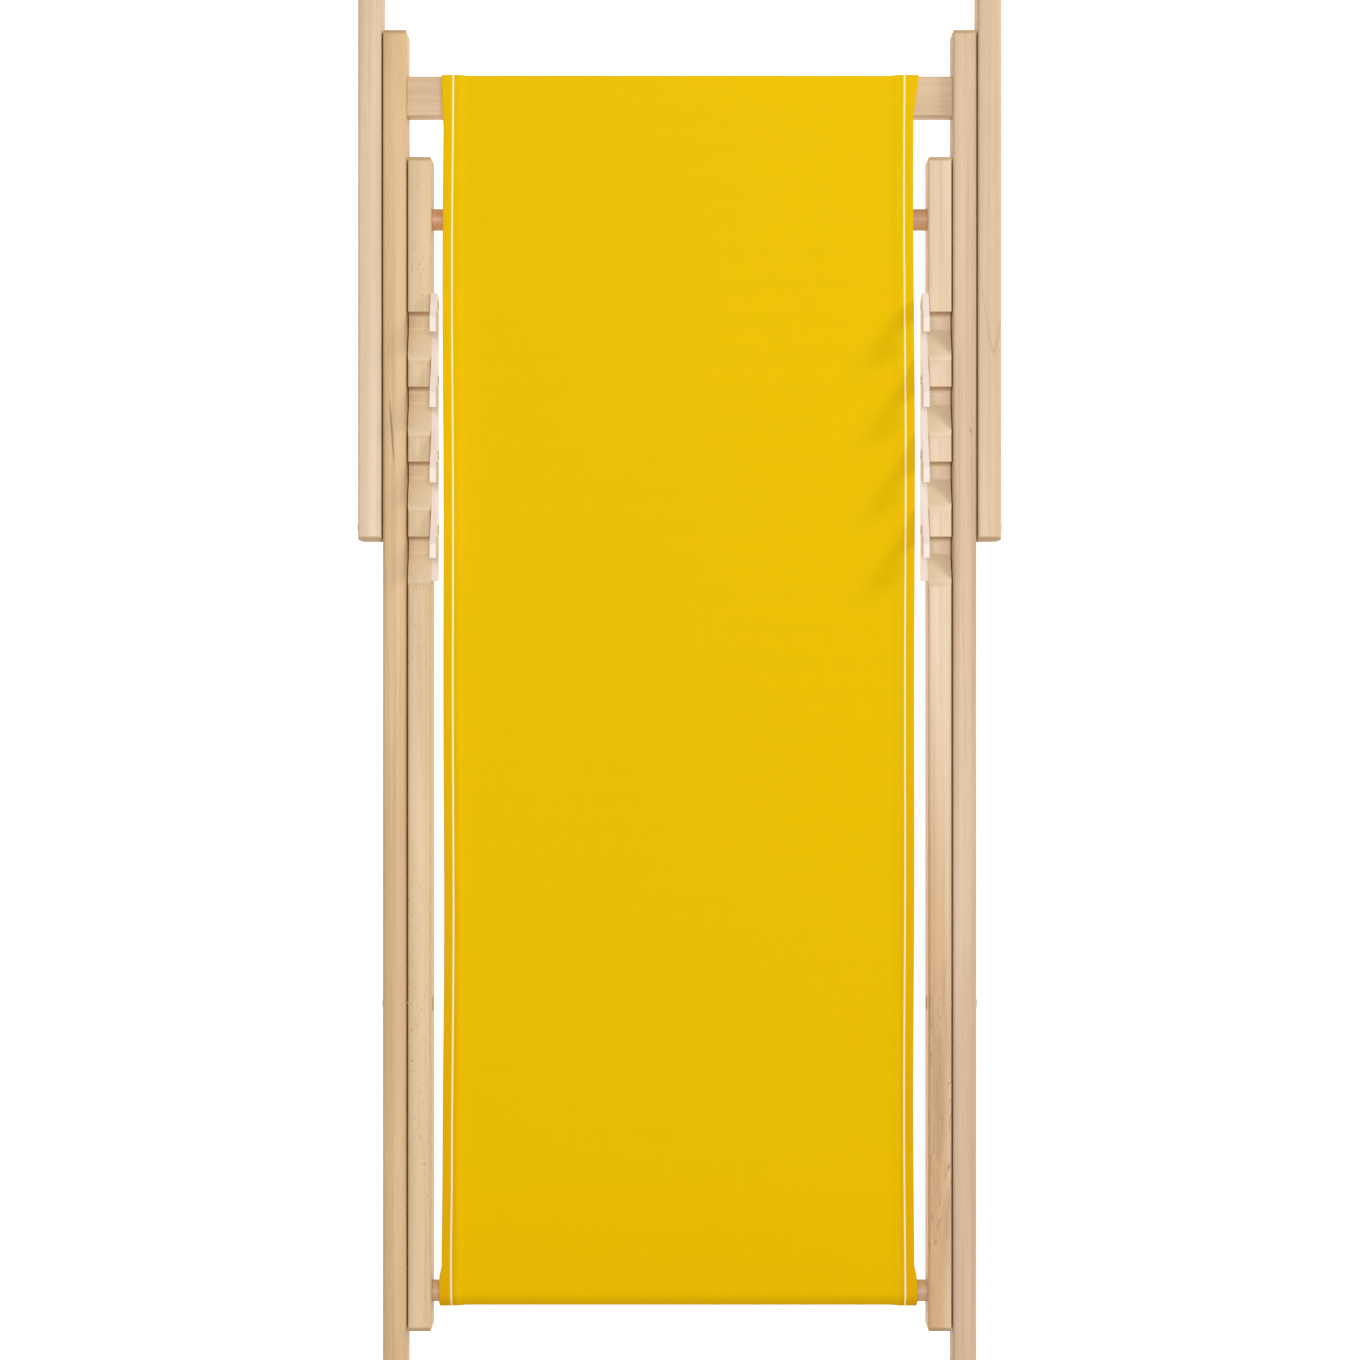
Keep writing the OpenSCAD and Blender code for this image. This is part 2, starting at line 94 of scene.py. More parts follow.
def beech(name, pale, deep, grain_turn=0.0, seed=0.0, streaks=0.5, fleck=0.5, middle_x=None,
          bare_pale_and_painted_light=0.0, marks=()):
    """Varnished beech whose grain runs along Y, or along X with a quarter turn."""
    finish, tree, shader = new_finish(name, 0.42)
    place = add(tree, "TexCoord").outputs["Object"]
    along = add(tree, "Mapping", {
        "Vector": place, "Location": (seed, 3.1 * seed, 1.7 * seed),
        "Rotation": (0.0, 0.0, grain_turn),
    }).outputs[0]

    def noise(across, lengthwise, detail=2.0, rough=0.5, twist=0.0):
        stretched = add(tree, "Mapping", {"Vector": along, "Scale": (across, lengthwise, across)})
        return add(tree, "TexNoise", {
            "Vector": stretched.outputs[0], "Scale": 1.0, "Detail": detail,
            "Roughness": rough, "Distortion": twist,
        }).outputs["Fac"]

    def darker(red, green, blue):
        return (red * deep[0], green * deep[1], blue * deep[2], 1.0)

    # Broad changes of tone, then growth lines of uneven width, then pores
    colour = dye(tree, between(tree, noise(55.0, 2.6, 4.0), 0.32, 0.68), pale, deep)
    lines = noise(210.0, 2.1, 5.0, 0.62, 0.25)
    line_amount = sums(tree, "MULTIPLY", between(tree, lines, 0.5, 0.72), streaks)
    colour = dye(tree, line_amount, colour, darker(0.83, 0.74, 0.6))
    glints = between(tree, noise(420.0, 7.0, 3.0), 0.52, 0.74, 0.0, 0.3)
    colour = dye(tree, glints, colour, tuple(min(1.08 * c, 1.0) for c in pale[:3]) + (1.0,))
    pores = noise(1700.0, 42.0, 2.0, 0.7)
    colour = dye(tree, between(tree, pores, 0.5, 0.8, 0.0, 0.35), colour, darker(0.82, 0.72, 0.6))

    # Short brown ray flecks, thick in some stretches and sparse in others
    rays = between(tree, noise(1150.0, 210.0, 1.0), 0.66, 0.75)
    rays = sums(tree, "MULTIPLY", rays, between(tree, noise(20.0, 5.0), 0.4, 0.62))
    rays = sums(tree, "MULTIPLY", rays, fleck)
    colour = dye(tree, rays, colour, (0.33, 0.18, 0.08, 1.0))

    # Single marks in the front of this one rail: (kind, place, half-sizes, turn, strength)
    facing = add(tree, "SeparateXYZ", {"Vector": add(tree, "TexCoord").outputs["Normal"]})
    in_front = between(tree, facing.outputs["Z"], 0.3, 0.8)
    for kind, spot, size, turn, strength in marks:
        centred = add(tree, "Mapping", {
            "Vector": place, "Location": spot, "Rotation": (0.0, 0.0, turn),
            "Scale": (size[0], size[1], 1.0),
        }, vector_type="TEXTURE").outputs[0]
        if kind == "arch":
            # One dark growth line that runs down to a tip at the middle and up again
            axes = add(tree, "SeparateXYZ", {"Vector": centred})
            rise = sums(tree, "POWER", sums(tree, "ABSOLUTE", axes.outputs["X"]), 1.35)
            off_line = sums(tree, "ABSOLUTE", sums(tree, "SUBTRACT", axes.outputs["Y"], rise))
            fade = between(tree, axes.outputs["Y"], 0.35, 1.6, 1.0, 0.0)
            shade = sums(tree, "MULTIPLY", between(tree, off_line, 0.0, 0.12, 1.0, 0.0), fade)
        else:
            flat = add(tree, "VectorMath", {0: centred, 1: (1.0, 1.0, 0.0)}, operation="MULTIPLY")
            inside = add(tree, "TexGradient", {"Vector": flat.outputs[0]}, gradient_type="SPHERICAL")
            shade = between(tree, inside.outputs["Fac"], 0.0, 0.6)
        if kind == "flame":
            # Growth lines cut at a shallow angle: nested wavy outlines in a patch
            field = noise(66.0, 6.0, 2.5, 0.5, 1.0)
            rings = sums(tree, "ABSOLUTE", sums(tree, "SINE", sums(tree, "MULTIPLY", field, RINGS)))
            thin = between(tree, rings, 0.0, 0.42, 1.0, 0.0)
            broad = between(tree, field, 0.47, 0.6, 0.0, 0.45)
            shade = sums(tree, "MULTIPLY", shade, sums(tree, "MAXIMUM", thin, broad))
        shade = sums(tree, "MULTIPLY", sums(tree, "MULTIPLY", shade, strength), in_front)
        mark = (0.6, 0.33, 0.12, 1.0) if kind == "stain" else (0.3, 0.17, 0.085, 1.0)
        colour = dye(tree, shade, colour, mark)

    # Sawn ends show darker, partly end grain drinking more varnish and partly painted shade
    # on the end facets; the flanks get painted shade, a deeper golden brown
    end_axis, flank_axis = ("X", "Y") if grain_turn else ("Y", "X")
    shaded_flank = between(tree, sums(tree, "ABSOLUTE", facing.outputs[flank_axis]), 0.6, 0.95)
    colour = dye(tree, sums(tree, "MULTIPLY", shaded_flank, 0.3), colour, (0.58, 0.33, 0.13, 1.0))
    # Painted shade on the end facets, on top of the darker end grain
    end = between(tree, sums(tree, "ABSOLUTE", facing.outputs[end_axis]), 0.08, 0.4, 0.0, 0.6)
    colour = dye(tree, end, colour, (0.47, 0.29, 0.145, 1.0))

    # The ramps and floors of the notches are paler, the ramps most: partly bare sawn wood,
    # partly painted light that lifts the shade in the notches and on the ramps' crests
    where = add(tree, "SeparateXYZ", {"Vector": place})
    off_notches = sums(tree, "ABSOLUTE", sums(tree, "SUBTRACT", where.outputs["Y"], NOTCHES_Y))
    bare_and_painted_light = between(tree, off_notches, NOTCHES_HALF, NOTCHES_HALF + 0.004, bare_pale_and_painted_light, 0.0)
    for amount in (
        between(tree, where.outputs["Z"], FRONT_Z - 0.0006, FRONT_Z - 0.00005, 1.0, 0.0),
        between(tree, sums(tree, "ABSOLUTE", facing.outputs["X"]), 0.05, 0.2, 1.0, 0.0),
        between(tree, facing.outputs["Z"], 0.72, 0.85),
        between(tree, facing.outputs["Z"], 0.985, 0.999, 1.0, 0.2),
    ):
        bare_and_painted_light = sums(tree, "MULTIPLY", bare_and_painted_light, amount)
    colour = dye(tree, bare_and_painted_light, colour, (0.95, 0.8, 0.56, 1.0))
    tree.links.new(colour, shader.inputs["Base Color"])
    tree.links.new(between(tree, shaded_flank, 0.0, 1.0, 0.5, 0.12), shader.inputs["Specular IOR Level"])
    tree.links.new(between(tree, lines, 0.3, 0.8, 0.38, 0.5), shader.inputs["Roughness"])
    grain = add(tree, "Bump", {"Strength": 0.12, "Distance": 0.0004, "Height": pores})
    tree.links.new(grain.outputs[0], shader.inputs["Normal"])

    # Sanding leaves the wide faces very slightly crowned across the rail
    if middle_x is not None:
        off = sums(tree, "SUBTRACT", add(tree, "SeparateXYZ", {"Vector": place}).outputs["X"], middle_x)
        drop = sums(tree, "MULTIPLY", sums(tree, "MULTIPLY", off, off), -0.5 / CROWN_R)
        crown = add(tree, "Bump", {"Strength": 1.0, "Distance": 1.0, "Height": drop})
        tree.links.new(crown.outputs[0], grain.inputs["Normal"])
    return finish


def middle_of(node):
    """X of the middle of a node."""
    low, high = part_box(node)
    return (low[0] + high[0]) / 2


def finish_node(name, finish):
    """Gives a CAD node's object its finish."""
    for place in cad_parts[name].material_slots:
        place.material = finish


finish_node("main_rail_left", beech(
    "beech, left long rail", (0.71, 0.482, 0.248, 1.0), (0.615, 0.388, 0.182, 1.0),
    seed=0.37, streaks=0.5, fleck=0.2, middle_x=middle_of("main_rail_left"),
    marks=[("streak", (-0.2648, 0.2376, 0.0), (0.0013, 0.04, 1.0), 0.07, 0.9)],
))
finish_node("main_rail_right", beech(
    "beech, right long rail", (0.685, 0.495, 0.322, 1.0), (0.6, 0.412, 0.252, 1.0),
    seed=1.13, streaks=0.45, fleck=0.15, middle_x=middle_of("main_rail_right"),
    marks=[("knot", (0.268, 0.2385, 0.0), (0.0022, 0.0042, 1.0), 0.5, 0.35)],
))


# --- Flat rails -----------------------------------------------------------------
# Two flat beech rails, 37 by 22 mm, tenoned between the long rails: one at the head,
# under the canvas, and one between the feet. Their grain runs across the chair.

QUARTER = math.pi / 2

finish_node("head_rail", beech(
    "beech, head rail", (0.7, 0.51, 0.32, 1.0), (0.62, 0.43, 0.25, 1.0),
    grain_turn=QUARTER, seed=2.2, streaks=0.4, fleck=0.1,
))
finish_node("foot_rail", beech(
    "beech, foot rail", (0.7, 0.51, 0.31, 1.0), (0.61, 0.42, 0.24, 1.0),
    grain_turn=QUARTER, seed=2.9, streaks=0.5, fleck=0.2,
))


# --- Screws through the tenons --------------------------------------------------
# One countersunk screw at each end of each flat rail, cross-slotted and brass-plated,
# gone dull and brownish outdoors. The same finish serves the ratchet plates' screws.

def metal(name, bright, dull, roughness):
    """Plated metal with soft cloudy dulling and fine scratches."""
    finish, tree, shader = new_finish(name, roughness, Metallic=1.0)
    place = add(tree, "TexCoord").outputs["Object"]
    clouds = add(tree, "TexNoise", {"Vector": place, "Scale": 260.0, "Detail": 4.0}).outputs["Fac"]
    scratches = add(tree, "TexNoise", {
        "Vector": add(tree, "Mapping", {"Vector": place, "Scale": (400.0, 4000.0, 400.0)}).outputs[0],
        "Scale": 1.0, "Detail": 2.0,
    }).outputs["Fac"]
    colour = dye(tree, between(tree, clouds, 0.4, 0.7), bright, dull)
    tree.links.new(colour, shader.inputs["Base Color"])
    rough = between(tree, clouds, 0.35, 0.7, 0.8 * roughness, 1.35 * roughness)
    tree.links.new(rough, shader.inputs["Roughness"])
    bump = add(tree, "Bump", {"Strength": 0.15, "Distance": 0.0001, "Height": scratches})
    tree.links.new(bump.outputs[0], shader.inputs["Normal"])
    return finish


dull_brass = metal("dull brass plate", (0.5, 0.34, 0.15, 1.0), (0.3, 0.19, 0.09, 1.0), 0.38)
for name in ("head_rail_screws", "foot_rail_screws"):
    finish_node(name, dull_brass)


# --- Pivot bolts, washers and nuts ----------------------------------------------
# Zinc-plated M6 bolts with low domed heads on the outside of the rails, a washer in
# each gap, and hexagonal nuts sunk in the inner faces.

zinc = metal("zinc plate", (0.63, 0.63, 0.64, 1.0), (0.45, 0.45, 0.46, 1.0), 0.32)
for joint in ("seat_pivot", "prop_pivot"):
    for part in ("bolt", "washer", "nut"):
        for side in ("left", "right"):
            finish_node(f"{joint}_{part}_{side}", zinc)


# --- Seat rails -----------------------------------------------------------------
# The inner pair of beech rails, with four notches cut into the front of each for the
# prop bar. Both carry dense short ray flecks; the right one has wavier, browner grain.

finish_node("seat_rail_left", beech(
    "beech, left seat rail", (0.75, 0.55, 0.32, 1.0), (0.67, 0.47, 0.255, 1.0),
    seed=4.71, streaks=0.4, fleck=0.85, middle_x=middle_of("seat_rail_left"), bare_pale_and_painted_light=0.42,
))
finish_node("seat_rail_right", beech(
    "beech, right seat rail", (0.79, 0.615, 0.435, 1.0), (0.73, 0.55, 0.37, 1.0),
    seed=5.39, streaks=0.5, fleck=0.4, middle_x=middle_of("seat_rail_right"), bare_pale_and_painted_light=0.42,
    marks=[
        ("stain", (0.232, -0.42, 0.0), (0.02, 0.55, 1.0), 0.0, 0.8),
        ("flame", (0.238, -0.4, 0.0), (0.03, 0.2, 1.0), 0.0, 0.65),
    ],
))


# --- Dowels of the seat frame ---------------------------------------------------
# Two round beech bars, 20 mm thick: the front one carries the canvas, the rear one
# ties the rear legs. A steel pin through the back of the rail locks each tenon.

dowel_beech = beech(
    "beech, dowels", (0.64, 0.36, 0.19, 1.0), (0.56, 0.3, 0.15, 1.0),
    grain_turn=QUARTER, seed=6.6, streaks=0.5, fleck=0.25,
)
finish_node("rear_dowel", dowel_beech)
finish_node("front_dowel", beech(
    "beech, front dowel", (0.68, 0.47, 0.3, 1.0), (0.6, 0.4, 0.24, 1.0),
    grain_turn=QUARTER, seed=9.2, streaks=0.5, fleck=0.25,
))
plain_steel = metal("plain steel", (0.5, 0.5, 0.5, 1.0), (0.33, 0.32, 0.31, 1.0), 0.42)
finish_node("seat_dowel_pins", plain_steel)


# --- Ratchet plates -------------------------------------------------------------
# Off-white moulded plastic plates screwed to the inner faces of the seat rails. A hook
# reaches over each notch and keeps the prop bar from jumping out.

def moulded_plastic(name, colour, shade):
    """Off-white plastic with a fine moulded texture and slight yellowing."""
    finish, tree, shader = new_finish(name, 0.38)
    place = add(tree, "TexCoord").outputs["Object"]
    cast = add(tree, "TexNoise", {"Vector": place, "Scale": 32.0, "Detail": 3.0}).outputs["Fac"]
    tree.links.new(dye(tree, between(tree, cast, 0.35, 0.7), colour, shade), shader.inputs["Base Color"])
    pebble = add(tree, "TexNoise", {"Vector": place, "Scale": 2400.0, "Detail": 2.0}).outputs["Fac"]
    tree.links.new(between(tree, pebble, 0.3, 0.7, 0.32, 0.46), shader.inputs["Roughness"])
    bump = add(tree, "Bump", {"Strength": 0.1, "Distance": 0.0001, "Height": pebble})
    tree.links.new(bump.outputs[0], shader.inputs["Normal"])
    return finish


off_white = moulded_plastic("off-white plastic", (0.85, 0.735, 0.665, 1.0), (0.8, 0.68, 0.6, 1.0))
for side in ("left", "right"):
    finish_node(f"ratchet_plate_{side}", off_white)
    finish_node(f"ratchet_screws_{side}", dull_brass)


# --- Prop frame -----------------------------------------------------------------
# The short outer pair of beech rails, joined at their head ends by a 20 mm bar that
# drops into the notches. The right rail shows one flat-sawn arch of grain.

finish_node("prop_rail_left", beech(
    "beech, left prop rail", (0.74, 0.565, 0.375, 1.0), (0.67, 0.495, 0.315, 1.0),
    seed=7.83, streaks=0.35, fleck=0.15, middle_x=middle_of("prop_rail_left"),
))
finish_node("prop_rail_right", beech(
    "beech, right prop rail", (0.72, 0.535, 0.355, 1.0), (0.645, 0.465, 0.295, 1.0),
    seed=8.41, streaks=0.35, fleck=0.2, middle_x=middle_of("prop_rail_right"),
    marks=[("arch", (0.289, 0.31, 0.0), (0.0115, 0.065, 1.0), 0.0, 0.3)],
))
finish_node("prop_bar", dowel_beech)
finish_node("prop_bar_pins", plain_steel)


# --- Canvas ---------------------------------------------------------------------
# One length of heavy yellow canvas with a hem folded under along each side. It runs
# from the back of the head rail over its top edge, down the chair, and is wound about
# the front dowel.

CLOTH_T = 0.0007
LAYER = 0.0008
AIR = 0.0001
HEM = 0.0135
HALF_W = 0.2167
CENTRE_X = -0.0008
UV_SPAN = 1.5

head_low, head_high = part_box("head_rail")
dowel_low, dowel_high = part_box("front_dowel")
wrap_low, wrap_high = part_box("sling_head_wrap")
roll_low, roll_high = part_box("sling_front_wrap")
dowel_y = (dowel_low[1] + dowel_high[1]) / 2
dowel_z = (dowel_low[2] + dowel_high[2]) / 2


def arc(centre, radius, first, last, steps):
    """Points on a circle in the Y-Z plane, from angle first to angle last."""
    turns = [first + (last - first) * i / steps for i in range(steps + 1)]
    return [(centre[0] + radius * math.cos(a), centre[1] + radius * math.sin(a)) for a in turns]


# Route of the middle of the outer layer, in the Y-Z plane. The hem lies inside it. It
# starts on the back of the head rail, TAIL_SHORT above the end of the CAD's wrap.
EDGE_R = 0.002
SKIN = AIR + CLOTH_T / 2 + LAYER
corner_r = EDGE_R + SKIN
top_y = head_high[1] - EDGE_R
back_z = head_low[2] + EDGE_R
front_z = head_high[2] - EDGE_R
TAIL_SHORT = 0.015
ROLL_TURNS = 1.6
ROLL_PITCH = 0.0017
roll_r = (roll_high[2] - roll_low[2]) / 2 + LAYER - CLOTH_T / 2
SPAN_STEPS = 130
ROLL_STEPS = 80

route = [(wrap_low[1] + TAIL_SHORT, back_z - corner_r)]
route += arc((top_y, back_z), corner_r, -math.pi / 2, 0.0, 6)
route += arc((top_y, front_z), corner_r, 0.0, math.pi / 2, 6)
span_start = (head_low[1], front_z + corner_r)
span_end = (dowel_y, dowel_z + roll_r)
for i in range(SPAN_STEPS + 1):
    t = i / SPAN_STEPS
    route.append(tuple(a + (b - a) * t for a, b in zip(span_start, span_end)))
for i in range(1, ROLL_STEPS + 1):
    turned = 2 * math.pi * ROLL_TURNS * i / ROLL_STEPS
    radius = roll_r - ROLL_PITCH * turned / (2 * math.pi)
    angle = math.pi / 2 + turned
    route.append((dowel_y + radius * math.cos(angle), dowel_z + radius * math.sin(angle)))

lengths = [0.0]
for a, b in zip(route, route[1:]):
    lengths.append(lengths[-1] + math.dist(a, b))
cloth_length = lengths[-1]


def on_route(row):
    """Point on the route, and the direction out of the cloth's face there, at a row number."""
    y, z = route[row]
    before, after = route[max(row - 1, 0)], route[min(row + 1, len(route) - 1)]
    run = Vector((0.0, after[0] - before[0], after[1] - before[1])).normalized()
    return Vector((0.0, y, z)), run.cross(Vector((1.0, 0.0, 0.0)))


# Section across the cloth: (x from its middle, depth behind the outer layer). The hem
# starts under the face, folds round the edge and comes back.
STITCH_IN = 0.0083
fold_r = LAYER / 2
section_half = [(HALF_W - HEM + HEM * i / 4 - (fold_r if i == 4 else 0.0), LAYER) for i in range(5)]
section_half += [
    (HALF_W - fold_r + fold_r * math.sin(a), fold_r + fold_r * math.cos(a))
    for a in (math.pi * i / 6 for i in range(1, 6))
]
face_in = [0.0006, 0.003, 0.0057, 0.007, 0.0076, 0.008, STITCH_IN, 0.0086, 0.009, 0.0096,
           0.011, 0.0128, 0.015, 0.0175, 0.0195, 0.022]
HEM_SLOPE = 0.008
DENT = 0.0003
DENT_W = 0.0009


def smooth(t):
    """0 to 1 with level ends, for t from 0 to 1."""
    t = min(max(t, 0.0), 1.0)
    return t * t * (3 - 2 * t)


def face_depth(inset):
    """Depth of the outer layer: raised over the hem, with a dent along the stitching."""
    return LAYER * smooth((inset - HEM) / HEM_SLOPE) + DENT * math.exp(-((inset - STITCH_IN) / DENT_W) ** 2)


section_half += [(HALF_W - inset, face_depth(inset)) for inset in face_in]
MIDDLE_COLUMNS = 32
inner_x = HALF_W - face_in[-1]
face_middle = [(inner_x - 2 * inner_x * i / MIDDLE_COLUMNS, LAYER) for i in range(1, MIDDLE_COLUMNS)]
section = section_half + face_middle + [(-x, d) for x, d in reversed(section_half)]
across = [0.0]
for a, b in zip(section, section[1:]):
    across.append(across[-1] + math.dist(a, b))
cloth_width = across[-1]


# How far each edge of the cloth spreads, over the head rail, on the roll and near it,
# and the width of the strip along the edge that spreads there
HEAD_SPREAD_LEFT = 0.0023
HEAD_SPREAD_RIGHT = 0.0048
ROLL_SPREAD = 0.0026
LEFT_DRIFT = 0.0011
RIM = 0.0083


def spread(y, x):
    """X in the chair of a point of the cloth: wider over the head rail and on the roll."""
    side = math.copysign(1.0, x)
    at_edge = smooth((abs(x) - 0.6 * HALF_W) / (0.4 * HALF_W))
    at_rim = smooth((abs(x) - HALF_W + RIM) / 0.0075)
    up_rail = (y - head_low[1]) / (head_high[1] - head_low[1])
    if x < 0:
        head = HEAD_SPREAD_LEFT * smooth(5 * up_rail + 0.5)
        drift = LEFT_DRIFT * smooth((-0.44 - y) / 0.1)
    else:
        head = HEAD_SPREAD_RIGHT * min(max(up_rail, 0.0), 1.0)
        drift = 0.0
    roll = ROLL_SPREAD * smooth((roll_high[1] + 0.011 - y) / 0.012)
    wander = 0.0005 * math.sin(7.3 * y + 0.8 * side) + 0.0004 * math.sin(15.1 * y - 1.9 * side)
    return CENTRE_X + x + side * (at_edge * (drift + wander) + at_rim * (head + roll))


RIPPLE = 0.00035


def ripple(x, y):
    """Slight unevenness of the hanging cloth, nothing at either rail."""
    t = (y - span_end[0]) / (span_start[0] - span_end[0])
    if t <= 0 or t >= 1:
        return 0.0
    waves = 0.6 * math.sin(21 * x + 3.1 * y + 0.7) + 0.4 * math.sin(47 * x - 5.3 * y + 2.1)
    waves += 0.35 * math.sin(9 * x - 13 * y + 1.2)
    return RIPPLE * waves * math.sin(math.pi * t) ** 0.5


def at_cloth(column, row, lift=0.0):
    """Place in the chair of one crossing of the cloth's section and its route."""
    x, depth = section[column]
    spot, out = on_route(row)
    spot = spot + out * (lift - depth + ripple(x, spot.y))
    spot.x = spread(spot.y, x)
    return spot


bm = bmesh.new()
columns, rows = len(section), len(route)
bmesh.ops.create_grid(bm, x_segments=columns - 1, y_segments=rows - 1, size=0.5)
uv = bm.loops.layers.uv.new("cloth")
for vertex in bm.verts:
    column = round((vertex.co.x + 0.5) * (columns - 1))
    row = round((vertex.co.y + 0.5) * (rows - 1))
    for loop in vertex.link_loops:
        loop[uv].uv = (across[column] / UV_SPAN, lengths[row] / UV_SPAN)
    vertex.co = at_cloth(column, row)
bmesh.ops.recalc_face_normals(bm, faces=bm.faces)
sling_mesh = bpy.data.meshes.new("sling")
bm.to_mesh(sling_mesh)
bm.free()
sling = bpy.data.objects.new("sling", sling_mesh)
bpy.context.scene.collection.objects.link(sling)
wall = sling.modifiers.new("thickness", "SOLIDIFY")
wall.thickness = CLOTH_T
wall.offset = 0.0


SHARP = math.radians(50)


def settle(piece):
    """Applies a piece's modifiers and shades it smooth, with sharp edges kept."""
    ready = piece.evaluated_get(bpy.context.evaluated_depsgraph_get())
    mesh = bpy.data.meshes.new_from_object(ready)
    piece.modifiers.clear()
    piece.data = mesh
    shape = bmesh.new()
    shape.from_mesh(mesh)
    for face in shape.faces:
        face.smooth = True
    for edge in shape.edges:
        if len(edge.link_faces) == 2 and edge.calc_face_angle() > SHARP:
            edge.smooth = False
    shape.to_mesh(mesh)
    shape.free()


settle(sling)


WARP_PITCH = 0.00078
WEFT_PITCH = 0.00095


def yellow_canvas():
    """Plain-woven cotton canvas: threads from its own map, paler towards the head end and
    darker on the roll, with painted shade between the threads and on the hem.
    """
    finish, tree, shader = new_finish("yellow canvas", 0.95, Specular_IOR_Level=0.03)
    flat = add(tree, "UVMap", uv_map="cloth").outputs[0]
    metres = add(tree, "Mapping", {"Vector": flat, "Scale": (UV_SPAN, UV_SPAN, 1.0)}).outputs[0]
    axes = add(tree, "SeparateXYZ", {"Vector": metres})

    def threads(position, spacing, across_position, across_spacing):
        """Height of one set of threads, each crossing over and under the other set."""
        phase = sums(tree, "MULTIPLY", position, math.pi / spacing)
        body = sums(tree, "ABSOLUTE", sums(tree, "SINE", phase))
        weave = sums(tree, "MULTIPLY", across_position, math.pi / across_spacing)
        other = sums(tree, "FLOOR", sums(tree, "DIVIDE", position, spacing))
        weave = sums(tree, "ADD", weave, sums(tree, "MULTIPLY", other, math.pi))
        over = between(tree, sums(tree, "SINE", weave), -0.9, 0.9)
        return sums(tree, "MULTIPLY", body, over)

    def cloth_noise(across_scale, along_scale, detail):
        scaled = add(tree, "Mapping", {"Vector": metres, "Scale": (across_scale, along_scale, 1.0)})
        return add(tree, "TexNoise", {
            "Vector": scaled.outputs[0], "Scale": 1.0, "Detail": detail,
        }).outputs["Fac"]

    warp = threads(axes.outputs["X"], WARP_PITCH, axes.outputs["Y"], WEFT_PITCH)
    shifted = sums(tree, "ADD", axes.outputs["X"], WARP_PITCH)
    weft = threads(axes.outputs["Y"], WEFT_PITCH, shifted, WARP_PITCH)
    weave = sums(tree, "MAXIMUM", warp, weft)
    # Painted shade of the weave: thread crests paler, the hollows between them darker
    colour = dye(tree, between(tree, weave, 0.0, 0.9), (0.73, 0.43, 0.0, 1.0), (0.875, 0.55, 0.001, 1.0))
    slub = between(tree, cloth_noise(700.0, 26.0, 2.0), 0.45, 0.8, 0.0, 0.22)
    colour = dye(tree, slub, colour, (0.9, 0.57, 0.003, 1.0))
    cloud = between(tree, cloth_noise(5.0, 5.0, 3.0), 0.35, 0.7, 0.0, 0.12)
    colour = dye(tree, cloud, colour, (0.79, 0.49, 0.0, 1.0))
    # Paler towards the head end, and darker and more orange on the roll
    paler_at_head = between(tree, axes.outputs["Y"], 0.0, 1.2, 0.15, 0.0)
    colour = dye(tree, paler_at_head, colour, (0.9, 0.64, 0.01, 1.0))
    wound = between(tree, axes.outputs["Y"], 1.0, 1.2, 0.0, 0.3)
    colour = dye(tree, wound, colour, (0.78, 0.44, 0.0, 1.0))
    inset = sums(tree, "ABSOLUTE", sums(tree, "SUBTRACT", axes.outputs["X"], cloth_width / 2))
    # Painted shade of the raised hem: the hem band darker, more so towards the roll
    in_hem = between(tree, inset, HALF_W - HEM - 0.001, HALF_W - HEM + 0.003)
    hem_shade_along = between(tree, axes.outputs["Y"], 0.3, 1.15, 0.2, 0.75)
    colour = dye(tree, sums(tree, "MULTIPLY", in_hem, hem_shade_along), colour, (0.74, 0.385, 0.003, 1.0))
    tree.links.new(colour, shader.inputs["Base Color"])
    near_seam = between(tree, inset, HALF_W - 0.022, HALF_W - 0.01)
    pucker = sums(tree, "MULTIPLY", cloth_noise(160.0, 110.0, 1.0), near_seam)
    height = sums(tree, "ADD", sums(tree, "MULTIPLY", weave, 0.35), pucker)
    bump = add(tree, "Bump", {"Strength": 0.5, "Distance": 0.0005, "Height": height})
    tree.links.new(bump.outputs[0], shader.inputs["Normal"])
    return finish


sling.data.materials.clear()
sling.data.materials.append(yellow_canvas())
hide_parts("sling_back", "sling_head_wrap", "sling_seat", "sling_front_wrap")


# --- Stitching ------------------------------------------------------------------
# A straight lock stitch in thick cream thread holds each hem, 8 mm in from the edge, from
# the back of the head rail into the roll. Its stitches meet on the face and underneath.

STITCH_PITCH = 0.0041
STITCH_STEPS = 6
THREAD_W = 0.0022
THREAD_H = 0.0006
THREAD_SIDES = 6
TAIL = 0.075

